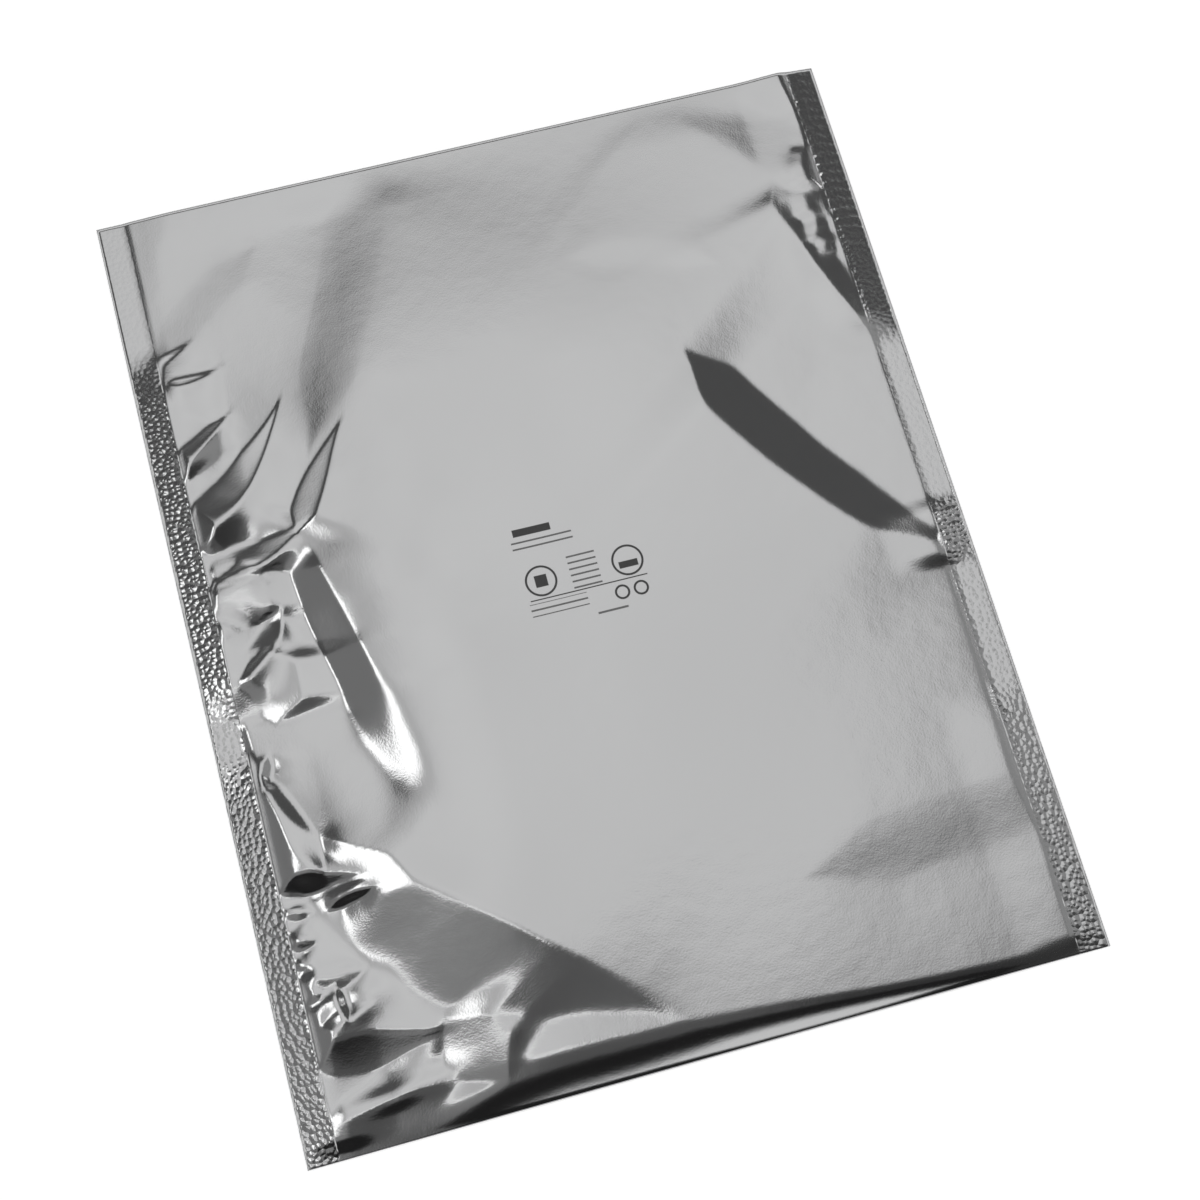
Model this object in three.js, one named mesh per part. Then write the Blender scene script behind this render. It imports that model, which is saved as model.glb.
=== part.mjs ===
// Moisture barrier bag: an empty, flat pouch of metallised film, open at one end.
//
// Millimetres, +Z up. The bag lies on its back film. The origin is on the table under the middle
// of the bag, +Y runs to the open mouth and +X runs to the right, as seen from above.
// One sheet is folded at the bottom and heat sealed along both sides, so the bag is one thin
// shell around a hollow that opens at the mouth. The front film is crumpled: its height is a
// sum of named forms, each placed from the seal, the fold or the mouth that it belongs to.

import * as THREE from "three";

// Driving dimensions
const bagWidth = 203.2; // over both side seals
const bagLength = 254; // from the fold to the mouth
const filmWall = 0.15; // thickness of the film
const sealWidth = 8; // heat seal along each side
const seamGap = 0.1; // space between the films where they leave a seal
const mouthGap = 0.7; // how far the mouth stands open
const foldDepth = 0.6; // how far the rounded fold reaches along the bag
const middleRise = 3.4; // height of the front film over its broad middle
const ridgeRise = 4.2; // further height of the ridge over the lower left corner

// How finely the films are divided
const sealColumns = 2;
const leftColumns = 14;
const middleColumns = 11;
const rightColumns = 13;
const backColumns = 3; // between the two stretches that lift to the seals
const liftColumns = 3; // where the back film settles beyond a seal
const lowerRows = 17;
const upperRows = 33;
const foldSteps = 4;
const leftZone = 50; // closely divided part of the front beside the left seal
const rightZone = 58; // the same beside the right seal
const lowerZone = 68; // the same above the fold

// Lines that the forms are placed from
const rightEdge = bagWidth / 2;
const leftEdge = -rightEdge;
const leftSeal = leftEdge + sealWidth;
const rightSeal = rightEdge - sealWidth;
const fold = -bagLength / 2;
const mouth = bagLength / 2;
const sealedThickness = 2 * filmWall;

const smooth = (t) => THREE.MathUtils.smoothstep(t, 0, 1);

// t held between -1 and 1, with shoulders of the given roundness.
function heldToUnit(t, roundness) {
  return (Math.hypot(t + 1, roundness) - Math.hypot(t - 1, roundness)) / 2;
}

// The larger of a and b, with the step between them rounded.
function roundedMax(a, b, roundness) {
  return (a + b + Math.hypot(a - b, roundness)) / 2;
}

// Where (x, y) lies beside a bowed line: along runs from 0 to 1, across is in millimetres and
// positive to the left of travel. The line bows to its left by bow.
function besideLine(x, y, { from, to, bow }) {
  const [dx, dy] = [to[0] - from[0], to[1] - from[1]];
  const length = Math.hypot(dx, dy);
  const along = ((x - from[0]) * dx + (y - from[1]) * dy) / length ** 2;
  const offChord = ((y - from[1]) * dx - (x - from[0]) * dy) / length;
  const held = THREE.MathUtils.clamp(along, 0, 1);
  const lineOff = 4 * bow * held * (1 - held);
  const lineSlope = (4 * bow * (1 - 2 * held)) / length;
  return { along, across: (offChord - lineOff) / Math.hypot(1, lineSlope) };
}

const taper = (along, head, tail) => smooth(along / head) * smooth((1 - along) / tail);

// A slanting leaf of film between two creases. It climbs to the left of travel.
function slant({ half, slope, reach, crease = 0.25, head = 0.3, tail = 0.3, share = 0, ...line }) {
  return (x, y) => {
    const { along, across } = besideLine(x, y, line);
    const strength = taper(along, head, tail);
    const width = Math.max(half * strength, 0.25);
    const fade = Math.exp(-Math.max(Math.abs(across) - width, 0) / reach);
    return slope * half * strength * (heldToUnit(across / width, crease) + share) * fade;
  };
}

// An oval swelling, its long axis turned from +X by degrees.
function mound({ at, along, across, turned, rise }) {
  const turn = THREE.MathUtils.degToRad(turned);
  const [c, s] = [Math.cos(turn), Math.sin(turn)];
  return (x, y) => {
    const u = (x - at[0]) * c + (y - at[1]) * s;
    const v = (y - at[1]) * c - (x - at[0]) * s;
    return rise * Math.exp(-((u / along) ** 2) - (v / across) ** 2);
  };
}

// The long crescent right of the middle, where the film falls away to the upper right.
const rightCrescent = slant({
  from: [rightSeal - 52.6, 55], to: [rightSeal + 5.4, -19], bow: -5,
  half: 6.6, slope: -0.115, reach: 30, crease: 0.1, head: 0.2, tail: 0.38,
});

// Upper right: the film drops to the seal, with puckers beside it.
const upperRight = [
  slant({ from: [rightSeal - 16.6, 94], to: [rightSeal - 1.6, 64], bow: 0, half: 3.2, slope: -0.12, reach: 8 }),
  mound({ at: [rightSeal - 5.1, 98], along: 4, across: 4, turned: 90, rise: 0.9 }),
  mound({ at: [rightSeal - 5.6, 88], along: 4.6, across: 4, turned: 90, rise: 0.9 }),
  mound({ at: [rightSeal - 4.6, 80], along: 2.6, across: 3.6, turned: 90, rise: 0.7 }),
];

// Upper left: gathers that fan out from the seal.
const gather = (from, to, rest) =>
  slant({
    from: [leftSeal + from[0], from[1]], to: [leftSeal + to[0], to[1]],
    slope: -0.32, reach: 7, head: 0.2, tail: 0.7, ...rest,
  });
const leftGathers = [
  gather([-5.4, 82.3], [12.6, 89.9], { bow: -0.6, half: 1.2, slope: -0.42, reach: 4 }),
  gather([0.6, 77], [18.6, 80], { bow: -0.8, half: 1.3, slope: -0.42, reach: 3 }),
  gather([-14.4, 55], [17.6, 66], { bow: -1.8, half: 4.4 }),
  gather([-6.4, 35], [30.6, 67.5], { bow: -4.5, half: 4.6 }),
  gather([24.6, 27], [45.1, 57.5], { bow: 1, half: 3.6 }),
  gather([-18.4, 20], [31.6, 31.5], { bow: -2.5, half: 5, tail: 0.5 }),
];

// Left of the middle: swellings and a tuck between the seal and the steep leaf.
const besideLeftSeal = [
  slant({ from: [leftSeal + 8.6, 25], to: [leftSeal + 6.6, 6], bow: 0, half: 7, slope: 0.17, reach: 10 }),
  slant({ from: [leftSeal - 4.4, -8], to: [leftSeal + 17.6, 10.5], bow: -1.5, half: 3.6, slope: -0.36, reach: 5 }),
  slant({ from: [leftSeal + 9.6, 1], to: [leftSeal + 8.6, -20], bow: 0, half: 8, slope: 0.17, reach: 12 }),
  slant({ from: [leftSeal - 2.4, -27], to: [leftSeal + 12.6, -62], bow: 1.5, half: 3.4, slope: -0.3, reach: 5 }),
];

// Lower left: the film climbs from the seal over a shoulder, drawn into puckers.
const lowerLeft = [
  slant({
    from: [leftSeal + 6.6, fold + 77], to: [leftSeal + 8.6, fold + 19], bow: 0,
    half: 7, slope: 0.15, reach: 14, crease: 0.2, share: 0.6,
  }),
  slant({
    from: [leftSeal - 5.4, fold + 65], to: [leftSeal + 20.6, fold + 64.5], bow: 1.2,
    half: 2.4, slope: 0.4, reach: 4, tail: 0.6,
  }),
  slant({
    from: [leftSeal - 10.4, fold + 21], to: [leftSeal + 35.6, fold + 23], bow: 1,
    half: 5, slope: 0.26, reach: 8, tail: 0.6,
  }),
  slant({
    from: [leftSeal + 35.6, fold + 26], to: [leftSeal + 39.6, fold + 5], bow: 0,
    half: 7, slope: 0.13, reach: 8, crease: 0.8, head: 0.5, tail: 0.4,
  }),
  mound({ at: [leftSeal + 11.6, fold + 36], along: 9, across: 6, turned: 0, rise: 1 }),
  mound({ at: [leftSeal + 15.6, fold + 11], along: 13, across: 3.4, turned: 8, rise: 1.3 }),
];

// Wide, soft bands.
const softBand = (from, to, rest) => slant({ from, to, crease: 0.8, ...rest });
const softBands = [
  softBand([rightSeal - 63.6, fold + 35], [rightSeal + 22.4, fold + 41], { bow: 1, half: 8, slope: 0.05, reach: 20 }),
  softBand([leftSeal + 69.6, mouth + 3], [leftSeal + 29.6, mouth - 75], { bow: 2, half: 9, slope: 0.04, reach: 25 }),
  softBand([leftSeal - 2.4, mouth - 43], [leftSeal + 33.6, mouth - 15], { bow: 1, half: 5, slope: -0.07, reach: 15 }),
  softBand([18, 86], [60, 74], { bow: 3, half: 4, slope: 0.05, reach: 12 }),
];

const forms = [rightCrescent, ...upperRight, ...leftGathers, ...besideLeftSeal, ...lowerLeft, ...softBands];

// The broad, even swelling of the front film.
const leftRun = 62; // the film climbs over this length from the left seal
const rightRun = 95; // the same from the right seal
const leftSwelling = mound({ at: [leftSeal + 45.6, 8], along: 42, across: 30, turned: 90, rise: 2 });
const broadSwelling = (x, y, left, right) =>
  middleRise * smooth(right / rightRun) * smooth(left / leftRun) + 0.2 + leftSwelling(x, y);

// The steep leaf left of the middle: right of its line the film falls to low ground by the seal.
const leafLine = { from: [leftSeal + 26.6, 26], to: [leftSeal + 47.6, -56], bow: -0.5 };
const leafSlope = 0.3;
function withSteepLeaf(height, x, y) {
  const { along, across } = besideLine(x, y, leafLine);
  const softness = smooth((along - 0.5) / 0.35);
  const slope = leafSlope * (1 - 0.35 * softness) * taper(along, 0.08, 0.28);
  const fall = (slope * (across - Math.hypot(across, 0.5 + 2.5 * softness))) / 2;
  const lowGround = -roundedMax(-height, -0.5 - 0.03 * Math.max(-18 - y, 0), 0.6);
  return roundedMax(height + fall, lowGround, 0.15 + 0.7 * softness);
}

// The ridge over the lower left corner: right of its line the film slopes down to the fold.
const ridgeLine = { from: [leftSeal - 3.4, fold + 83], to: [leftSeal + 92.6, fold + 6], bow: 5 };
const ridgeFlank = 30; // how gently the film falls away left of the line
function cornerRidge(x, y) {
  const { along, across } = besideLine(x, y, ridgeLine);
  const top = ridgeRise * taper(along, 0.45, 0.62) * Math.exp(-Math.max(across, 0) / ridgeFlank);
  const slope = 0.185 - 0.05 * smooth(along);
  const roundness = 3 - 2.2 * smooth(along / 0.75);
  return roundedMax(top + (slope * (across - Math.hypot(across, roundness))) / 2, 0, 0.3);
}

// Free space between the two films at (x, y), without the seam gap.
const flattening = 70; // the pouch flattens over this length before the mouth
const steepestRoot = 0.3; // greatest slope of the film where it leaves a seal
const foldRadius = 10; // the front film rolls down to the fold over this length
function pillow(x, y) {
  const left = Math.max(x - leftSeal, 0);
  const right = Math.max(rightSeal - x, 0);
  let height = withSteepLeaf(broadSwelling(x, y, left, right), x, y) + cornerRidge(x, y);
  for (const form of forms) height += form(x, y);
  const nearMouth = smooth((y - mouth + flattening) / flattening);
  height = THREE.MathUtils.lerp(height, mouthGap, nearMouth);
  height = Math.min(height, left * steepestRoot, right * steepestRoot);
  const aboveFold = THREE.MathUtils.clamp((y - fold) / foldRadius, 0, 1);
  const rollToFold = Math.sqrt(1 - (1 - aboveFold) ** 2);
  return Math.max(height, 0) * rollToFold;
}

// The seals tilt up to their inner edges here and there, and both films settle back beyond them.
const settling = 16;
const between = (y, low, high, soft) => smooth((y - low) / soft + 0.5) * smooth((high - y) / soft + 0.5);
const leftTilt = (y) => 0.16 * between(y, 15, 84, 5) + 0.17 * between(y, fold - 10, -28, 8);
const rightTilt = (y) =>
  0.11 * between(y, 43, mouth + 10, 8) + 0.1 * between(y, -21, -5, 4) + 0.045 * between(y, fold - 10, -60, 14);
function lift(x, y) {
  const tilt = x < 0 ? leftTilt(y) : rightTilt(y);
  const fromEdge = rightEdge - Math.abs(x);
  const inside = Math.max(fromEdge - sealWidth, 0);
  const level = Math.min(fromEdge, sealWidth) * (1 - smooth(inside / settling));
  return tilt * level * smooth((y - fold - foldDepth) / 5);
}

// Heights of the four faces of the films.
const backOuter = lift;
const backInner = (x, y) => filmWall + lift(x, y);
const frontInner = (x, y) => filmWall + seamGap + lift(x, y) + pillow(x, y);
function frontOuter(x, y) {
  const sealed = x < leftSeal || x > rightSeal;
  return sealed ? sealedThickness + lift(x, y) : filmWall + frontInner(x, y);
}

// Points from start to end in the given number of equal steps, without the last one.
const steps = (start, end, count) =>
  Array.from({ length: count }, (_, i) => THREE.MathUtils.lerp(start, end, i / count));

const columnsOverSeals = (inner) => [
  ...steps(leftEdge, leftSeal, sealColumns),
  ...inner,
  ...steps(rightSeal, rightEdge, sealColumns),
  rightEdge,
];
const frontX = columnsOverSeals([
  ...steps(leftSeal, leftSeal + leftZone, leftColumns),
  ...steps(leftSeal + leftZone, rightSeal - rightZone, middleColumns),
  ...steps(rightSeal - rightZone, rightSeal, rightColumns),
]);
const backX = columnsOverSeals([
  ...steps(leftSeal, leftSeal + settling, liftColumns),
  ...steps(leftSeal + settling, rightSeal - settling, backColumns),
  ...steps(rightSeal - settling, rightSeal, liftColumns),
]);
const rowY = [
  ...steps(fold + foldDepth, fold + lowerZone, lowerRows),
  ...steps(fold + lowerZone, mouth, upperRows),
  mouth,
];

const positions = [];
const triangles = [];

function addPoint(x, y, z) {
  positions.push(x, y, z);
  return positions.length / 3 - 1;
}

// Joins two rows of points with triangles, whatever their numbers. axis is the coordinate that
// both rows run along. The face looks along (row direction) x (first row to second row).
function joinRows(a, b, axis) {
  const place = (row, i) => positions[3 * row[i] + axis];
  let [i, j] = [0, 0];
  while (i < a.length - 1 || j < b.length - 1) {
    const advanceA = j === b.length - 1 || (i < a.length - 1 && place(a, i + 1) <= place(b, j + 1));
    if (advanceA) {
      triangles.push(a[i], a[i + 1], b[j]);
      i += 1;
    } else {
      triangles.push(a[i], b[j + 1], b[j]);
      j += 1;
    }
  }
}

const [ALONG_X, ALONG_Y] = [0, 1];
const [first, end] = [0, -1];
const column = (grid, i) => grid.map((row) => row.at(i));

// A grid of points on one face of a film, and its rows joined.
function addFace(xs, height, facesUp) {
  const grid = rowY.map((y) => xs.map((x) => addPoint(x, y, height(x, y))));
  for (let j = 0; j < grid.length - 1; j += 1) {
    if (facesUp) joinRows(grid[j], grid[j + 1], ALONG_X);
    else joinRows(grid[j + 1], grid[j], ALONG_X);
  }
  return grid;
}

// The turn of the film at the fold, from the front's first row to the back's.
function addFold(front, back, depth, facesOut) {
  let row = front;
  const join = (a, b) => (facesOut ? joinRows(b, a, ALONG_X) : joinRows(a, b, ALONG_X));
  const rings = [row];
  for (let step = 1; step < foldSteps; step += 1) {
    const angle = (Math.PI * step) / foldSteps;
    const low = positions[3 * back[0] + 2];
    const ring = front.map((point) => {
      const [x, y, high] = positions.slice(3 * point, 3 * point + 3);
      const middle = (high + low) / 2;
      return addPoint(x, y - depth * Math.sin(angle), middle + ((high - low) / 2) * Math.cos(angle));
    });
    join(row, ring);
    rings.push(ring);
    row = ring;
  }
  join(row, back);
  rings.push(back);
  return rings;
}

// Closes one end of the fold, across its rings.
function closeFoldEnd(ends, facesRight) {
  for (let i = 1; i < ends.length - 1; i += 1) {
    if (facesRight) triangles.push(ends[0], ends[i], ends[i + 1]);
    else triangles.push(ends[0], ends[i + 1], ends[i]);
  }
}

function addQuad(a, b, c, d) {
  triangles.push(a, b, c, a, c, d);
}

// The columns inside the hollow, which starts a film's thickness inside each seal.
function toHollow(xs) {
  const [, ...between] = xs.slice(sealColumns, -sealColumns);
  between.pop();
  return [leftSeal + filmWall, ...between, rightSeal - filmWall];
}

function makeBag() {
  const front = addFace(frontX, frontOuter, true);
  const back = addFace(backX, backOuter, false);
  const frontLining = addFace(toHollow(frontX), frontInner, false);
  const backLining = addFace(toHollow(backX), backInner, true);

  // Edges of the seals, and the sides of the hollow.
  joinRows(column(front, first), column(back, first), ALONG_Y);
  joinRows(column(back, end), column(front, end), ALONG_Y);
  joinRows(column(backLining, first), column(frontLining, first), ALONG_Y);
  joinRows(column(frontLining, end), column(backLining, end), ALONG_Y);

  // The fold, outside and inside.
  const outsideFold = addFold(front[first], back[first], foldDepth, true);
  closeFoldEnd(column(outsideFold, first), false);
  closeFoldEnd(column(outsideFold, end), true);
  const insideFold = addFold(frontLining[first], backLining[first], foldDepth - filmWall, false);
  closeFoldEnd(column(insideFold, first), true);
  closeFoldEnd(column(insideFold, end), false);

  // The lips of the mouth and the ends of the seals beside it.
  const frontRim = front.at(end);
  const backRim = back.at(end);
  const frontLiningRim = frontLining.at(end);
  const backLiningRim = backLining.at(end);
  const sealEnd = sealColumns + 1;
  joinRows(frontRim.slice(sealColumns, -sealColumns), frontLiningRim, ALONG_X);
  joinRows(backLiningRim, backRim.slice(sealColumns, -sealColumns), ALONG_X);
  joinRows(frontRim.slice(first, sealEnd), backRim.slice(first, sealEnd), ALONG_X);
  joinRows(frontRim.slice(-sealEnd), backRim.slice(-sealEnd), ALONG_X);
  const leftSide = [frontRim, backRim].map((rim) => rim.at(sealColumns));
  const rightSide = [frontRim, backRim].map((rim) => rim.at(-sealEnd));
  addQuad(leftSide[0], frontLiningRim.at(first), backLiningRim.at(first), leftSide[1]);
  addQuad(rightSide[0], rightSide[1], backLiningRim.at(end), frontLiningRim.at(end));

  const geometry = new THREE.BufferGeometry();
  geometry.setAttribute("position", new THREE.Float32BufferAttribute(positions, 3));
  geometry.setIndex(triangles);
  geometry.computeVertexNormals();
  return geometry;
}

const film = new THREE.MeshStandardMaterial({ color: 0xc3c5c7, metalness: 1, roughness: 0.25 });

const bag = new THREE.Mesh(makeBag(), film);
bag.name = "barrier_bag";

const part = new THREE.Group();
part.name = "moisture_barrier_bag";
part.add(bag);

export default part;
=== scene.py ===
"""Dresses the moisture barrier bag: one crumpled film shell with sealed sides, an open mouth
and a plain printed block, on a white table under a studio's overhead panel."""

import math

import bpy
import numpy as np
from mathutils import Matrix, Vector


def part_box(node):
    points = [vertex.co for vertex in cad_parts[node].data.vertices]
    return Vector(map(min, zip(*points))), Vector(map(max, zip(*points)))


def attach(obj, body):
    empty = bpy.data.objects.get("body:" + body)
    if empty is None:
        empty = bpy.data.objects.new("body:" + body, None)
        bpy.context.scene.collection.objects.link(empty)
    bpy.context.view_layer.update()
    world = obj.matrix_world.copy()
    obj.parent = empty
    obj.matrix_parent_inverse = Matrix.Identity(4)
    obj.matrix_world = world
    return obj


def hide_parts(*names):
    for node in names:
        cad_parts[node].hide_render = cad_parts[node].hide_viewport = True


bl_info = {
    "name": "Moisture Barrier Bag",
    "version": (1, 0, 0),
    "blender": (4, 5, 0),
    "location": "View3D > Sidebar > Barrier Bag",
    "description": "Makes a flat pouch of crumpled metallised film and its studio",
    "category": "Add Mesh",
}

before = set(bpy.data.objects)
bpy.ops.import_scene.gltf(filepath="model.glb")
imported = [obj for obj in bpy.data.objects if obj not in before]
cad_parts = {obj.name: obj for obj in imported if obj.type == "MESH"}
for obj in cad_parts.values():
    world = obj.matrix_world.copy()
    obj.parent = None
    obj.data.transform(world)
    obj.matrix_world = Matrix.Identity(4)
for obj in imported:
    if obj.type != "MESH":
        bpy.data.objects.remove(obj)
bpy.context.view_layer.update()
MM = 0.001
NODE = "barrier_bag"
LOW, HIGH = (np.array(corner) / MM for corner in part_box(NODE))

# Lines and gaps that the film's forms are placed from, in millimetres.
SEAL_WIDTH = 8.0
SEAM_GAP = 0.1
FOLD_DEPTH = 0.6
SETTLING = 16
LEFT_EDGE, RIGHT_EDGE = LOW[0], HIGH[0]
LEFT_SEAL, RIGHT_SEAL = LEFT_EDGE + SEAL_WIDTH, RIGHT_EDGE - SEAL_WIDTH
FOLD, MOUTH = LOW[1], HIGH[1]


def smooth(t):
    """An S-curve from 0 to 1."""
    t = np.clip(t, 0, 1)
    return t * t * (3 - 2 * t)


def held_to_unit(t, roundness):
    """t held between -1 and 1, with rounded shoulders."""
    return (np.hypot(t + 1, roundness) - np.hypot(t - 1, roundness)) / 2


def rounded_max(a, b, roundness):
    """The larger of a and b, with the step between them rounded."""
    return (a + b + np.hypot(a - b, roundness)) / 2


def rounded_min(a, b, roundness):
    """The smaller of a and b, with the step between them rounded."""
    return (a + b - np.hypot(a - b, roundness)) / 2


def between(y, low, high, soft):
    """1 between low and high, with edges of the given softness."""
    return smooth((y - low) / soft + 0.5) * smooth((high - y) / soft + 0.5)


def beside_line(x, y, start, end, bow):
    """How far along (0 to 1) and across (mm, positive to the left of travel) a bowed line."""
    dx, dy = end[0] - start[0], end[1] - start[1]
    length = math.hypot(dx, dy)
    along = ((x - start[0]) * dx + (y - start[1]) * dy) / length**2
    off_chord = ((y - start[1]) * dx - (x - start[0]) * dy) / length
    held = np.clip(along, 0, 1)
    line_off = 4 * bow * held * (1 - held)
    line_slope = 4 * bow * (1 - 2 * held) / length
    return along, (off_chord - line_off) / np.hypot(1, line_slope)


def taper(along, head, tail):
    """Rises over the head and falls over the tail of a line, as shares of its length."""
    return smooth(along / head) * smooth((1 - along) / tail)


def slant(start, end, bow, half, slope, reach, crease=0.25, head=0.3, tail=0.3, share=0.0):
    """A slanting leaf of film between two creases, climbing to the left of travel."""

    def height(x, y):
        along, across = beside_line(x, y, start, end, bow)
        strength = taper(along, head, tail)
        width = np.maximum(half * strength, 0.25)
        fade = np.exp(-np.maximum(np.abs(across) - width, 0) / reach)
        return slope * half * strength * (held_to_unit(across / width, crease) + share) * fade

    return height


def mound(at, along, across, turned, rise):
    """An oval swelling, its long axis turned from +X by degrees."""
    c, s = math.cos(math.radians(turned)), math.sin(math.radians(turned))

    def height(x, y):
        u = (x - at[0]) * c + (y - at[1]) * s
        v = (y - at[1]) * c - (x - at[0]) * s
        return rise * np.exp(-((u / along) ** 2) - (v / across) ** 2)

    return height


def gather(start, end, bow, half, slope=-0.32, reach=7, tail=0.7):
    """A dark gather of the upper left, placed from the left seal."""
    start, end = ((LEFT_SEAL + x, y) for x, y in (start, end))
    return slant(start, end, bow, half, slope, reach, head=0.2, tail=tail)


# How far a small pucker is felt beside its creases, in millimetres.
NARROW_REACH = 2.5


def finger(y, length, half, tilt=0.0):
    """A small pucker that points from the left seal into the bag."""
    root = LEFT_SEAL - 5.0
    return slant((root, y), (root + length, y + tilt), 0.4, half, 0.42, NARROW_REACH, tail=0.45)


def nick(start, end, half, slope=-0.4):
    """A short tuck in the film."""
    return slant(start, end, 0, half, slope, NARROW_REACH, head=0.35, tail=0.35)


# The long crescent right of the middle.
RIGHT_CRESCENT = slant((42, 54), (99, -20), -5, 6.9, -0.15, 34, 0.08, 0.18, 0.3)
# Upper right: the film drops to the seal, with puckers beside it.
UPPER_RIGHT = (
    slant((80, 96), (95, 38), 2.5, 5.2, -0.2, 14, 0.1, 0.14, 0.5, -0.5),
    slant((82, 93), (97, 90), 0, 1.6, 0.3, 4, 0.2, 0.3, 0.2),
    slant((82, 83), (97, 81), 0, 1.5, 0.3, 4, 0.2, 0.3, 0.2),
    slant((83, 75), (97, 73), 0, 1.3, 0.3, 4, 0.2, 0.3, 0.2),
    mound((88.5, 98), 4, 4, 90, 0.9),
    mound((88, 88), 4.6, 4, 90, 0.9),
    mound((89, 80), 2.6, 3.6, 90, 0.7),
    mound((89.5, 72.5), 2.2, 3.6, 90, 0.6),
    nick((84.5, 125), (89.5, 116), 1.6),
    nick((93.5, 117), (90, 111), 0.9, 0.4),
    nick((87, 103.5), (93, 102.5), 1.0),
)
# Upper left: gathers that fan out from the seal.
LEFT_GATHERS = (
    gather((-5.4, 82.3), (12.6, 89.9), -0.6, 1.2, -0.42, 4),
    gather((0.6, 77), (18.6, 80), -0.8, 1.3, -0.42, 3),
    gather((-16.4, 54), (17.6, 67), -1.8, 6.2, -0.37),
    gather((-11.4, 35), (30.6, 68.5), -5.5, 6.4, -0.37),
    gather((24.6, 27), (45.1, 57.5), 1, 3.6),
    gather((-18.4, 20), (31.6, 31.5), -2.5, 5, tail=0.5),
)
# Left of the middle: swellings and a tuck between the seal and the steep leaf.
BESIDE_LEFT_SEAL = (
    slant((-85, 25), (-87, 6), 0, 7, 0.17, 10),
    slant((-98, -8), (-76, 10.5), -1.5, 3.6, -0.36, 5),
    slant((-84, 1), (-85, -20), 0, 8, 0.17, 12),
    slant((-96, -27), (-81, -62), 1.5, 3.4, -0.3, 5),
    nick((-88, -26), (-92, -36), 1.6, -0.34),
)
# Lower left: the film climbs from the seal over a shoulder, drawn into puckers.
LOWER_LEFT = (
    slant((-99, -61.5), (-70, -63), 1.2, 3.0, 0.4, 4, tail=0.6),
    finger(-68.5, 13, 1.5),
    slant((-84, -69), (-68, -66.5), 0.8, 1.4, 0.42, NARROW_REACH, tail=0.45),
    finger(-76, 12.5, 1.6, 0.5),
    finger(-81, 10, 1.0),
    finger(-89, 12, 1.6, 0.5),
    nick((-85, -86), (-84, -97), 1.3),
    slant((-104, -106), (-58, -104), 1, 5, 0.26, 8, tail=0.6),
    slant((-62, -100), (-50, -120), 0, 8, 0.16, 8, 0.5, 0.4, 0.4),
    slant((-93, -84), (-76, -84), -2, 1.8, 0.3, 4, 0.3, 0.3, 0.4),
    slant((-93, -99), (-76, -93), 2, 1.8, -0.3, 4, 0.3, 0.3, 0.4),
    mound((-82, -91), 9, 6, 0, 1.4),
    mound((-78, -116), 13, 3.4, 8, 1.3),
)
# Soft bands that run out only at the mouth itself.
SOFT_BANDS = (
    slant((30, -92), (116, -86), 1, 8, 0.05, 20, 0.8),
    slant((-24, 138), (-62, 46), 2, 8, 0.1, 22, 0.8),
    slant((56, 140), (99, 92), -2, 8, -0.075, 22, 0.4, 0.15, 0.15),
    slant((-96, 84), (-60, 112), 1, 5, -0.07, 15, 0.8),
    slant((18, 86), (60, 74), 3, 4, 0.05, 12, 0.8),
)
FORMS = (RIGHT_CRESCENT, *UPPER_RIGHT, *LEFT_GATHERS, *BESIDE_LEFT_SEAL, *LOWER_LEFT)
LEFT_SWELLING = mound((-50, 6), 42, 30, 90, 3)


def with_steep_leaf(height, x, y):
    """Right of the leaf's line the film falls to low ground by the seal."""
    along, across = beside_line(x, y, (-67, 26), (-46, -56), -0.5)
    softness = smooth((along - 0.42) / 0.25)
    slope = 0.3 * (1 - 0.38 * softness) * taper(along, 0.08, 0.28)
    fall = slope * (across - np.hypot(across, 0.5 + 2.5 * softness)) / 2
    low_ground = rounded_min(height, 0.5 + 0.03 * np.maximum(-18 - y, 0), 0.6)
    return rounded_max(height + fall, low_ground, 0.15 + 0.7 * softness)


def corner_ridge(x, y):
    """A ridge over the lower left corner: right of it the film slopes down to the fold."""
    along, across = beside_line(x, y, (-113, -32), (-1, -121), 5)
    top = 4.2 * taper(along, 0.42, 0.5) * np.exp(-np.maximum(across, 0) / 26)
    slope = 0.25 - 0.11 * smooth(along / 0.8)
    roundness = 3 - 2.2 * smooth(along / 0.75)
    return rounded_max(top + slope * (across - np.hypot(across, roundness)) / 2, 0, 0.3)


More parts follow.
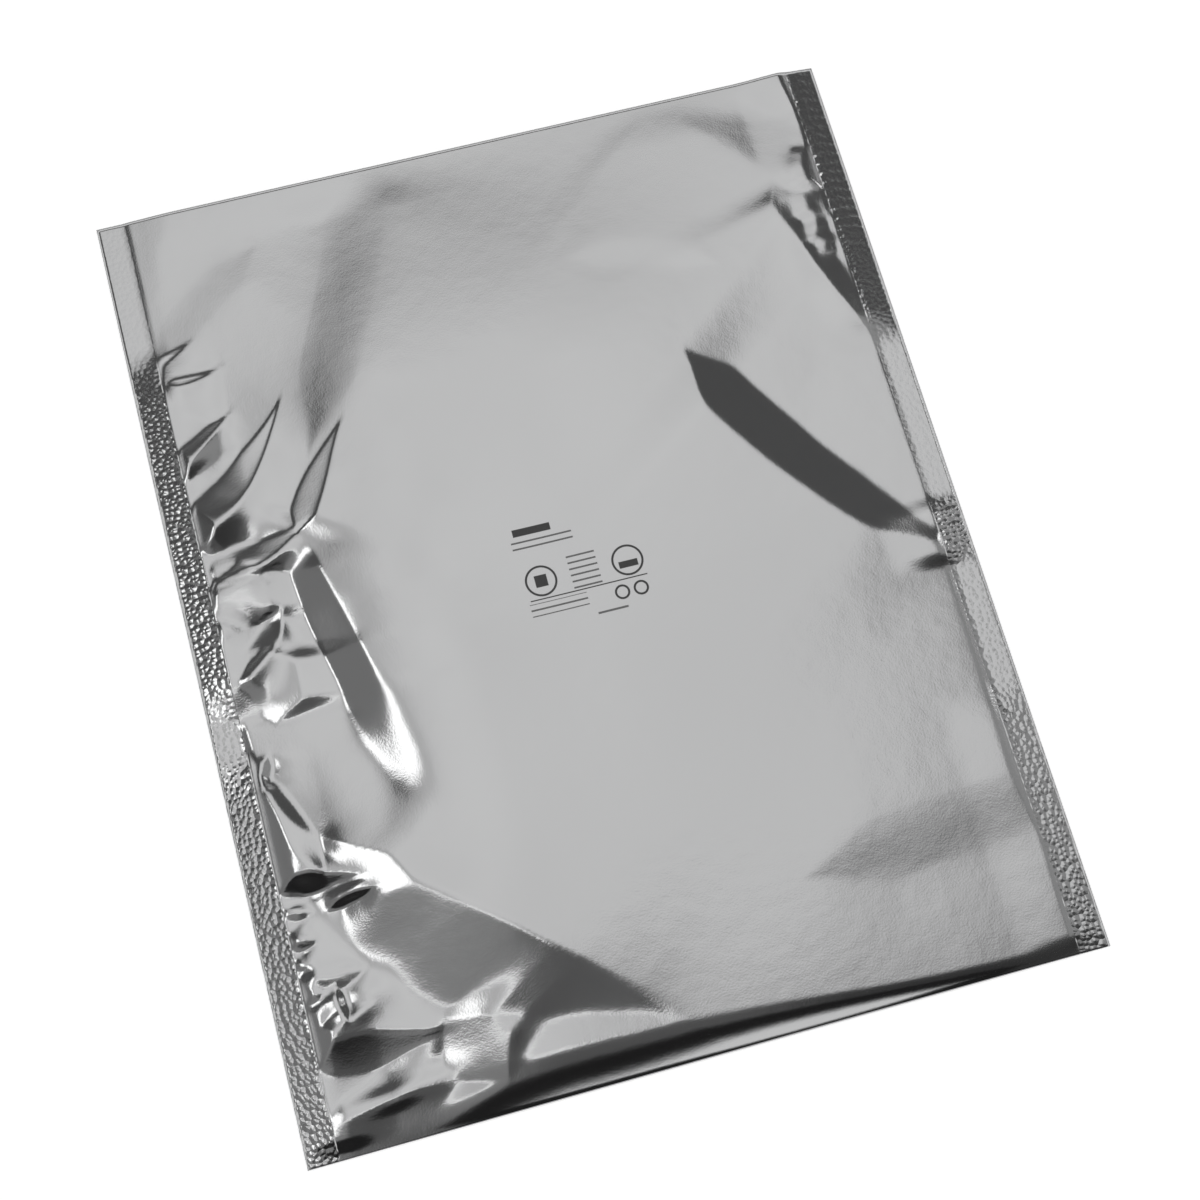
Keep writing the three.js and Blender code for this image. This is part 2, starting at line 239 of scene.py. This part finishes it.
def pillow(x, y, sizes):
    """Free space between the two films at (x, y), without the seam gap."""
    left = np.maximum(x - LEFT_SEAL, 0)
    right = np.maximum(RIGHT_SEAL - x, 0)
    root, corner = 0.06, 0.12

    # The broad shape, which climbs gently from both seals.
    swelling = sizes.middle_rise / MM * smooth(right / 95) * smooth(left / 62)
    swelling = swelling + 0.1 + 0.2 * smooth(right / 30) + LEFT_SWELLING(x, y)
    height = with_steep_leaf(swelling, x, y) + corner_ridge(x, y)
    left_climb = 0.12 + 0.08 * smooth((110 - y) / 70) + 0.2 * between(y, -45, 70, 30)
    height = rounded_min(height, root + left * left_climb, corner)
    height = rounded_min(height, 0.3 + right * 0.06, 0.4)
    for form in FORMS:
        height = height + form(x, y)

    # Towards the mouth it flattens, and only the soft bands go on.
    mouth_reach, band_end = 70, 14
    near_mouth = smooth((y - (MOUTH - mouth_reach)) / mouth_reach)
    height = height * (1 - near_mouth) + sizes.mouth_gap / MM * near_mouth
    for band in SOFT_BANDS:
        height = height + band(x, y) * smooth((MOUTH - y) / band_end)

    # Nothing rises more steeply than this from the seals.
    steepest_left, steepest_right = 0.06 + 0.4 * smooth((95 - y) / 20), 0.3
    height = rounded_min(height, root + left * steepest_left, corner)
    height = rounded_min(height, root + right * steepest_right, corner)
    fold_radius = 4 + 8 * smooth((75 - x) / 110)
    roll_to_fold = 1 - (1 - np.clip((y - FOLD) / fold_radius, 0, 1)) ** 2
    seal_edge = 0.8
    at_seals = smooth(left / seal_edge) * smooth(right / seal_edge)
    return rounded_max(height, 0, 0.15) * roll_to_fold * at_seals


def lift(x, y):
    """The seals tilt up to their inner edges here and there; both films settle back beyond."""
    below, above = FOLD - 10, MOUTH + 10
    left_tilt = 0.26 * between(y, -12, 82, 16) + 0.17 * between(y, below, -30, 12)
    right_tilt = 0.12 * between(y, 45, above, 14) + 0.11 * between(y, -21, -5, 6)
    right_tilt = right_tilt + 0.045 * between(y, below, -60, 14)
    from_edge = RIGHT_EDGE - np.abs(x)
    inside = np.maximum(from_edge - SEAL_WIDTH, 0)
    level = np.minimum(from_edge, SEAL_WIDTH) * (1 - smooth(inside / SETTLING))
    return np.where(x < 0, left_tilt, right_tilt) * level * smooth((y - FOLD - FOLD_DEPTH) / 5)


class FilmMesh:
    """Collects points and triangles of the film's faces, in millimetres."""

    ALONG_X, ALONG_Y = 0, 1

    def __init__(self):
        self.points = np.empty((0, 3))
        self.triangles = []

    def add_points(self, points):
        first = len(self.points)
        self.points = np.vstack([self.points, points])
        return np.arange(first, first + len(points))

    def add_grid(self, xs, ys, height):
        """Points over every x and y, one row for each y. Returns their numbers."""
        x, y = np.meshgrid(xs, ys)
        points = np.column_stack([x.ravel(), y.ravel(), height(x, y).ravel()])
        return self.add_points(points).reshape(len(ys), len(xs))

    def fill_grid(self, grid, faces_up):
        """Two triangles between each four neighbours of a grid."""
        a, b = grid[:-1, :-1].ravel(), grid[:-1, 1:].ravel()
        c, d = grid[1:, 1:].ravel(), grid[1:, :-1].ravel()
        halves = np.vstack([np.column_stack([a, b, c]), np.column_stack([a, c, d])])
        self.triangles.append(halves if faces_up else halves[:, ::-1])

    def join_rows(self, a, b, axis):
        """Joins two rows, whatever their numbers. The face looks along row x (a to b)."""
        place_a, place_b = self.points[a, axis], self.points[b, axis]
        i = j = 0
        found = []
        while i < len(a) - 1 or j < len(b) - 1:
            at_end = j == len(b) - 1
            if at_end or (i < len(a) - 1 and place_a[i + 1] <= place_b[j + 1]):
                found.append((a[i], a[i + 1], b[j]))
                i += 1
            else:
                found.append((a[i], b[j + 1], b[j]))
                j += 1
        self.triangles.append(np.array(found))

    def add_fold(self, front, back, depth, steps, faces_out):
        """The turn of the film from the front's first row to the back's."""
        rings = [front]
        high = self.points[front]
        low = self.points[back[0], 2]
        for step in range(1, steps):
            angle = math.pi * step / steps
            ring = high.copy()
            ring[:, 1] -= depth * math.sin(angle)
            ring[:, 2] = (high[:, 2] + low) / 2 + (high[:, 2] - low) / 2 * math.cos(angle)
            rings.append(self.add_points(ring))
        for upper, lower in zip(rings, [*rings[1:], back]):
            pair = (lower, upper) if faces_out else (upper, lower)
            self.join_rows(*pair, self.ALONG_X)
        rings.append(back)
        return rings

    def close_fold_end(self, rim, faces_right):
        """A fan over the fold's open side."""
        fan = np.array([(rim[0], rim[i], rim[i + 1]) for i in range(1, len(rim) - 1)])
        self.triangles.append(fan if faces_right else fan[:, ::-1])

    def add_quad(self, a, b, c, d):
        self.triangles.append(np.array([(a, b, c), (a, c, d)]))

    def to_object(self, name):
        mesh = bpy.data.meshes.new(name)
        faces = np.vstack(self.triangles)
        mesh.from_pydata((self.points * MM).tolist(), [], faces.tolist())
        mesh.validate()
        mesh.shade_smooth()
        piece = bpy.data.objects.new(name, mesh)
        bpy.context.collection.objects.link(piece)
        return piece


def spread(*stretches):
    """Places along an axis: (start, end, greatest spacing) for each stretch in turn."""
    places = [stretches[0][0]]
    for start, end, spacing in stretches:
        count = 2 * max(1, math.ceil((end - start) / spacing / 2))
        places.extend(np.linspace(start, end, count + 1)[1:])
    return np.array(places)


def make_film(sizes):
    """The whole bag as one closed shell, open at the mouth."""
    wall = sizes.film_wall / MM
    sealed = 2 * wall

    def front_outer(x, y):
        inside = (x >= LEFT_SEAL) & (x <= RIGHT_SEAL)
        return lift(x, y) + np.where(inside, sealed + SEAM_GAP + pillow(x, y, sizes), sealed)

    # Rows and columns are closest where the film is most crumpled.
    left_zone, right_zone, lower_zone = LEFT_SEAL + 50, RIGHT_SEAL - 58, FOLD + 68
    xs = spread(
        (LEFT_EDGE, LEFT_SEAL, 1.0),
        (LEFT_SEAL, left_zone, 0.6),
        (left_zone, right_zone, 1.3),
        (right_zone, RIGHT_SEAL, 0.8),
        (RIGHT_SEAL, RIGHT_EDGE, 1.0),
    )
    ys = spread((FOLD + FOLD_DEPTH, lower_zone, 0.75), (lower_zone, MOUTH, 1.0))
    back_xs = spread(
        (LEFT_EDGE, LEFT_SEAL, 2),
        (LEFT_SEAL, LEFT_SEAL + SETTLING, 2),
        (LEFT_SEAL + SETTLING, RIGHT_SEAL - SETTLING, 8),
        (RIGHT_SEAL - SETTLING, RIGHT_SEAL, 2),
        (RIGHT_SEAL, RIGHT_EDGE, 2),
    )
    film = FilmMesh()
    front = film.add_grid(xs, ys, front_outer)
    film.fill_grid(front, faces_up=True)

    # The lining has every other row and column of the front, a wall's thickness below it.
    inside = np.flatnonzero((xs >= LEFT_SEAL) & (xs <= RIGHT_SEAL))
    heights = film.points[front, 2]
    lowest = heights.copy()
    for axis in (0, 1):
        for shift in (-1, 1):
            lowest = np.minimum(lowest, np.roll(heights, shift, axis))
    coarser, back_coarser = 2, 4
    lining_columns = inside[::coarser]
    lining_xs = xs[lining_columns].copy()
    lining_ys = ys[::coarser]
    lining_xs[0] += wall
    lining_xs[-1] -= wall
    least = lift(*np.meshgrid(lining_xs, lining_ys)) + wall + SEAM_GAP / 2
    lining_z = np.maximum(lowest[::coarser][:, lining_columns] - wall, least)
    lining_z[:, [0, -1]] = least[:, [0, -1]]
    lining = film.add_grid(lining_xs, lining_ys, lambda x, y: lining_z)
    film.fill_grid(lining, faces_up=False)

    back_ys = ys[::back_coarser]
    if back_ys[-1] != ys[-1]:
        back_ys = np.append(back_ys, ys[-1])
    back = film.add_grid(back_xs, back_ys, lift)
    film.fill_grid(back, faces_up=False)
    back_inner_xs = back_xs[(back_xs >= LEFT_SEAL) & (back_xs <= RIGHT_SEAL)].copy()
    back_inner_xs[0] += wall
    back_inner_xs[-1] -= wall
    back_lining = film.add_grid(back_inner_xs, back_ys, lambda x, y: lift(x, y) + wall)
    film.fill_grid(back_lining, faces_up=True)

    # Edges of the seals, and the sides of the hollow.
    film.join_rows(front[:, 0], back[:, 0], film.ALONG_Y)
    film.join_rows(back[:, -1], front[:, -1], film.ALONG_Y)
    film.join_rows(back_lining[:, 0], lining[:, 0], film.ALONG_Y)
    film.join_rows(lining[:, -1], back_lining[:, -1], film.ALONG_Y)

    # The fold, outside and inside.
    outside = film.add_fold(front[0], back[0], FOLD_DEPTH, 6, faces_out=True)
    film.close_fold_end([ring[0] for ring in outside], faces_right=False)
    film.close_fold_end([ring[-1] for ring in outside], faces_right=True)
    within = film.add_fold(lining[0], back_lining[0], FOLD_DEPTH - wall, 4, faces_out=False)
    film.close_fold_end([ring[0] for ring in within], faces_right=True)
    film.close_fold_end([ring[-1] for ring in within], faces_right=False)

    # The lips of the mouth and the ends of the seals beside it.
    rim, back_rim = front[-1], back[-1]
    first, last = inside[0], inside[-1]
    back_inside = np.flatnonzero((back_xs >= LEFT_SEAL) & (back_xs <= RIGHT_SEAL))
    back_first, back_last = back_inside[0], back_inside[-1]
    film.join_rows(rim[first : last + 1], lining[-1], film.ALONG_X)
    film.join_rows(back_lining[-1], back_rim[back_first : back_last + 1], film.ALONG_X)
    film.join_rows(rim[: first + 1], back_rim[: back_first + 1], film.ALONG_X)
    film.join_rows(rim[last:], back_rim[back_last:], film.ALONG_X)
    film.add_quad(rim[first], lining[-1, 0], back_lining[-1, 0], back_rim[back_first])
    film.add_quad(rim[last], back_rim[back_last], back_lining[-1, -1], lining[-1, -1])
    return film.to_object("film_pouch")


class Socket:
    """A node's output in an expression: arithmetic on it adds Math nodes."""

    def __init__(self, tree, output):
        self.tree = tree
        self.output = output

    def math(self, operation, *others):
        settings = {"operation": operation}
        return self.tree.node("ShaderNodeMath", settings, dict(enumerate((self, *others))))

    def __add__(self, other):
        return self.math("ADD", other)

    def __sub__(self, other):
        return self.math("SUBTRACT", other)

    def __rsub__(self, other):
        return (self * -1) + other

    def __mul__(self, other):
        return self.math("MULTIPLY", other)

    def __truediv__(self, other):
        return self.math("DIVIDE", other)

    def __abs__(self):
        return self.math("ABSOLUTE")

    def power(self, exponent):
        return self.math("POWER", exponent)

    def greater(self, other):
        return self.math("MAXIMUM", other)

    def sine(self):
        return self.math("SINE")

    def hypot(self, other):
        return (self * self + other * other).power(0.5)

    def step(self, low, high):
        """0 below low, 1 above high, smooth between."""
        settings = {"interpolation_type": "SMOOTHSTEP"}
        sockets = {"Value": self, "From Min": low, "From Max": high}
        return self.tree.node("ShaderNodeMapRange", settings, sockets)

    def band(self, low, high, soft):
        """1 between low and high, with edges of the given softness."""
        rise = self.step(low - soft / 2, low + soft / 2)
        fall = self.step(high - soft / 2, high + soft / 2)
        return rise * (1 - fall)

    __radd__ = __add__
    __rmul__ = __mul__


class Tree:
    """A node tree that is built from expressions."""

    def __init__(self, owner):
        owner.use_nodes = True
        self.nodes = owner.node_tree.nodes
        self.links = owner.node_tree.links
        self.nodes.clear()

    def node(self, kind, settings=(), sockets=(), output=0):
        """Adds a node: its settings first, then the values or links of its sockets."""
        made = self.nodes.new(kind)
        for name, value in dict(settings).items():
            setattr(made, name, value)
        for name, value in dict(sockets).items():
            if isinstance(value, Socket):
                self.links.new(value.output, made.inputs[name])
            else:
                made.inputs[name].default_value = value
        return Socket(self, made.outputs[output]) if made.outputs else made

    def split(self, vector):
        """The x, y and z of a vector."""
        made = self.node("ShaderNodeSeparateXYZ", {}, {"Vector": vector})
        return [Socket(self, made.output.node.outputs[i]) for i in range(3)]

    def mix_colour(self, factor, a, b):
        """Colour a, turning to b as factor goes from 0 to 1."""
        settings = {"data_type": "RGBA"}
        first_colour, second_colour, mixed_colour = 6, 7, 2
        sockets = {"Factor": factor, first_colour: a, second_colour: b}
        return self.node("ShaderNodeMix", settings, sockets, mixed_colour)


def over(base, mask, tone):
    """tone laid over base where mask is 1."""
    return base * (1 - mask) + mask * tone


def nearer_than(reach, distance):
    """1 where distance is less than reach, with a print's slightly soft edge."""
    soft = 0.08
    return (distance * -1).step(-reach - soft, -reach + soft)


def box(x, y, at, size):
    """1 inside a rectangle, in millimetres."""
    return nearer_than(size[0] / 2, abs(x - at[0])) * nearer_than(size[1] / 2, abs(y - at[1]))


def ring(x, y, at, radius):
    """1 on the line of a ring, in millimetres."""
    line = 0.55
    return nearer_than(line / 2, abs((x - at[0]).hypot(y - at[1]) - radius))


def printed_block(x, y):
    """A plain block of bars, rules and rings in the middle of the bag, with no lettering."""
    bar, rule = ((-10, 13), (10, 2.0)), ((0.5, -5.8), (31, 0.3))
    ruled_blocks = (((-8, 9.6), (16, 3)), ((0.5, -0.5), (7.5, 10)), ((-8, -8.4), (15, 3.4)))
    short_line = ((5, -13), (8, 0.55))
    rings = (((-11, -1), 3.9), ((12, -1), 3.9), ((8.5, -9), 1.7), ((13.5, -9), 1.7))
    blocks_in_rings = (((-11, -1), (3.2, 3.2)), ((12, -2), (5, 1.8)))
    row_pitch, paler = 1.7, 0.75

    mask = box(x, y, *bar)
    rows = (y * (math.tau / row_pitch) + 1).sine().step(0.5, 0.8)
    for block in ruled_blocks:
        mask = mask.greater(box(x, y, *block) * rows * paler)
    mask = mask.greater(box(x, y, *short_line) * paler)
    mask = mask.greater(box(x, y, *rule))
    for at, radius in rings:
        mask = mask.greater(ring(x, y, at, radius))
    for block in blocks_in_rings:
        mask = mask.greater(box(x, y, *block))
    return mask


def seal_texture(tree, place, x, y):
    """Heights of the blisters and cross ribs of the side seals, 0 between the seals."""
    seal = abs(x).step(RIGHT_SEAL - 0.1, RIGHT_SEAL + 0.3)
    right = x.step(-1, 1)
    down = y * -1
    least, blister_size = 0.12, 1.4
    on_left = least + down.step(-88, -78) * 0.5 + down.step(22, 30) * 0.5
    on_right = least + y.step(41, 52) * 0.16 + y.band(-21, -5, 2) * 0.5
    on_right = on_right + down.step(18, 24) * 0.18 + down.step(56, 64) * 0.3
    strength = seal * (on_left * (1 - right) + on_right * right)
    cells = tree.node(
        "ShaderNodeTexVoronoi",
        {"feature": "F1", "voronoi_dimensions": "2D"},
        {"Vector": place, "Scale": 1 / (blister_size * MM), "Randomness": 0.9},
    )
    ribs = (y * 2.2 + (x * 0.7).sine()).sine() * 0.5 * right * y.step(70, 80)
    return (cells * -1.4 + ribs) * strength


def noise(tree, place, size, detail):
    """Soft lumps of about the given size, in millimetres."""
    return tree.node("ShaderNodeTexNoise", {}, {"Vector": place, "Scale": 1 / (size * MM), "Detail": detail})


def film_material(finish):
    """Metallised film: fine grain, blistered seals and the printed block."""
    material = bpy.data.materials.new("metallised_film")
    tree = Tree(material)
    object_place, blister_height = 3, 0.12
    place = tree.node("ShaderNodeTexCoord", output=object_place)
    x, y = (part / MM for part in tree.split(place)[:2])
    grain = noise(tree, place, 0.5, 1.0) * 0.012 + noise(tree, place, 7, 2.0) * 0.05
    height = grain * finish.grain + seal_texture(tree, place, x, y) * blister_height
    bump = tree.node("ShaderNodeBump", {}, {"Strength": 1.0, "Distance": MM, "Height": height})
    ink = printed_block(x, y)
    cover = ink * 0.9
    film_colour, print_colour = (*finish.film_colour, 1.0), (*finish.print_colour, 1.0)
    colour = tree.mix_colour(cover, film_colour, print_colour)
    surface = tree.node(
        "ShaderNodeBsdfPrincipled",
        {},
        {
            "Base Color": colour,
            "Metallic": 1 - cover,
            "Roughness": ink * 0.3 + finish.roughness,
            "Normal": bump,
        },
    )
    tree.node("ShaderNodeOutputMaterial", {}, {"Surface": surface})
    return material


class BarrierBagSizes(bpy.types.PropertyGroup):
    film_wall: bpy.props.FloatProperty(
        name="Film thickness",
        description="Thickness of the film",
        default=0.15 * MM,
        unit="LENGTH",
    )
    mouth_gap: bpy.props.FloatProperty(
        name="Mouth gap",
        description="How far the mouth stands open",
        default=0.7 * MM,
        unit="LENGTH",
    )
    middle_rise: bpy.props.FloatProperty(
        name="Middle rise",
        description="Height of the front film over its middle",
        default=3.4 * MM,
        unit="LENGTH",
    )


class BarrierBagFinish(bpy.types.PropertyGroup):
    film_colour: bpy.props.FloatVectorProperty(
        name="Film colour",
        description="Colour of the metallised film",
        subtype="COLOR",
        default=(0.7, 0.702, 0.706),
    )
    print_colour: bpy.props.FloatVectorProperty(
        name="Print colour",
        description="Colour of the printed block",
        subtype="COLOR",
        default=(0.03, 0.03, 0.03),
    )
    roughness: bpy.props.FloatProperty(
        name="Roughness", description="Roughness of the film", default=0.14, min=0, max=1
    )
    grain: bpy.props.FloatProperty(
        name="Grain", description="Strength of the film's fine grain", default=1.0, min=0, max=1
    )


class BarrierBagStudio(bpy.types.PropertyGroup):
    panel: bpy.props.FloatProperty(
        name="Panel", description="Brightness of the overhead panel", default=0.9, min=0
    )
    lamps: bpy.props.FloatProperty(
        name="Lamps", description="Brightness of the lamps", default=2.2, min=0
    )
    focal_length: bpy.props.FloatProperty(
        name="Focal length", description="Focal length in millimetres", default=60.0, min=1
    )


class BARRIERBAG_OT_film(bpy.types.Operator):
    """Make the bag's film and its finish"""

    bl_idname = "barrierbag.film"
    bl_label = "Film"

    def execute(self, context):
        piece = make_film(context.scene.barrier_bag_sizes)
        piece.data.materials.append(film_material(context.scene.barrier_bag_finish))
        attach(piece, "root")
        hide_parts(NODE)
        return {"FINISHED"}


class BARRIERBAG_OT_stage(bpy.types.Operator):
    """Make the table, the studio's light and the camera"""

    bl_idname = "barrierbag.stage"
    bl_label = "Stage"

    def execute(self, context):
        studio = context.scene.barrier_bag_studio
        self.table()
        self.light(context.scene, studio)
        self.camera(context.scene, studio)
        context.scene.view_settings.view_transform = "Standard"
        return {"FINISHED"}

    def table(self):
        """A white table, which the camera and the film see as white."""
        bpy.ops.mesh.primitive_plane_add(size=6, location=(0, 0, -0.0002))
        table = bpy.context.object
        table.name = "table"
        material = bpy.data.materials.new("white_table")
        tree = Tree(material)
        paint = tree.node("ShaderNodeBsdfDiffuse", {}, {"Color": (0.9, 0.9, 0.9, 1)})
        path = tree.node("ShaderNodeLightPath")
        seen = path * 0.7 + Socket(tree, path.output.node.outputs["Is Glossy Ray"]) * 0.2
        glow = tree.node("ShaderNodeEmission", {}, {"Color": (1, 1, 1, 1), "Strength": seen})
        both = tree.node("ShaderNodeAddShader", {}, {0: paint, 1: glow})
        tree.node("ShaderNodeOutputMaterial", {}, {"Surface": both})
        table.data.materials.append(material)

    def light(self, scene, studio):
        """A dark room around a big overhead panel, two lamps and grey cards, bright at its foot.

        A direction is given by its slopes from straight up: ex to the right, ey to the back.
        """
        world = bpy.data.worlds.new("studio")
        scene.world = world
        tree = Tree(world)
        x, y, z = tree.split(tree.node("ShaderNodeTexCoord", output=0))
        up = z.greater(0.001)
        ex, ey = x / up, y / up
        left, low = ex * -1, ey * -1

        # The dark room and the grey cards on its right and left.
        tone = 0.09 - ex.step(-0.15, 0.5) * (0.2 - ey).step(0.0, 0.5) * 0.05
        tone = over(tone, low.step(0.42, 0.6), 0.015)
        tone = over(tone, ex.band(0.44, 1.60, 0.05) * ey.band(-0.05, 0.33, 0.05), 0.38)
        tone = over(tone, left.step(0.53, 0.59) * ey.band(-0.5, 0.42, 0.05), 0.24)

        # The left lamp, the card low in front with a lit strip, and the right lamp.
        tone = over(tone, ex.band(-0.56, -0.32, 0.04) * ey.band(-0.05, 0.37, 0.04), studio.lamps)
        low_card = 0.3 - ex.step(-0.20, -0.02) * 0.18
        tone = over(tone, ex.band(-0.56, 0.20, 0.05) * ey.band(-0.45, -0.03, 0.03), low_card)
        tone = over(tone, ex.band(-0.36, 0.06, 0.06) * ey.band(-0.062, -0.02, 0.012), studio.lamps)
        tone = over(tone, ex.band(0.80, 1.20, 0.04) * ey.band(0.36, 0.49, 0.02), studio.lamps)

        # The panel, dimmer towards its back, its left side and corner, its right side and the
        # right of its front, and a little uneven.
        panel = ex.band(-0.36, 0.44, 0.04) * ey.band(-0.03, 0.82, 0.03)
        dimmer = (
            ey.step(0.50, 0.96) * 0.62,
            left.step(0.28, 0.38) * ey.step(0.36, 0.44) * 0.85,
            left.step(0.10, 0.30) * 0.35,
            ex.step(0.34, 0.46) * 0.8,
            low.step(-0.12, 0.03) * ex.step(0.02, 0.15) * 0.7,
            (ex * 17 + 1).sine() * (ey * 21).sine() * 0.05,
        )
        light = studio.panel
        for part in dimmer:
            light = light * (1 - part)
        tone = over(tone, panel, light)

        # The foot of the room and what lies below it are pale, and the camera sees white.
        pale = 0.9
        tone = over(tone, ex.hypot(ey).step(1.1, 2.0), pale)
        tone = over(tone, (0.02 - z).step(0, 0.04), pale)
        tone = over(tone, tree.node("ShaderNodeLightPath"), 1.0)
        backdrop = tree.node("ShaderNodeBackground", {}, {"Strength": tone})
        tree.node("ShaderNodeOutputWorld", {}, {"Surface": backdrop})

    def camera(self, scene, studio):
        """The photo's view: from above, a little from the front and left, and slightly turned."""
        place = Vector((-52.4, -145.4, 495.5)) * MM
        target = Vector((2.8, -8.4, 0)) * MM
        look = (target - place).to_track_quat("-Z", "Y").to_matrix().to_4x4()
        turn = Matrix.Rotation(math.radians(6.9), 4, "Z")
        data = bpy.data.cameras.new("camera")
        data.lens = studio.focal_length
        camera = bpy.data.objects.new("camera", data)
        camera.matrix_world = Matrix.Translation(place) @ look @ turn
        scene.collection.objects.link(camera)
        scene.camera = camera


class BARRIERBAG_PT_panel(bpy.types.Panel):
    bl_label = "Barrier Bag"
    bl_idname = "BARRIERBAG_PT_panel"
    bl_space_type = "VIEW_3D"
    bl_region_type = "UI"
    bl_category = "Barrier Bag"

    def draw(self, context):
        for group in GROUPS:
            settings = getattr(context.scene, group)
            for name in settings.bl_rna.properties.keys()[1:]:
                self.layout.prop(settings, name)
        for operator in OPERATORS:
            self.layout.operator(operator.bl_idname)


GROUPS = {
    "barrier_bag_sizes": BarrierBagSizes,
    "barrier_bag_finish": BarrierBagFinish,
    "barrier_bag_studio": BarrierBagStudio,
}
OPERATORS = (BARRIERBAG_OT_film, BARRIERBAG_OT_stage)
CLASSES = (*GROUPS.values(), *OPERATORS, BARRIERBAG_PT_panel)


def register():
    for cls in CLASSES:
        bpy.utils.register_class(cls)
    for name, group in GROUPS.items():
        setattr(bpy.types.Scene, name, bpy.props.PointerProperty(type=group))


def unregister():
    for name in GROUPS:
        delattr(bpy.types.Scene, name)
    for cls in reversed(CLASSES):
        bpy.utils.unregister_class(cls)


def main():
    register()
    bpy.ops.barrierbag.film()
    bpy.ops.barrierbag.stage()


if __name__ == "__main__":
    main()
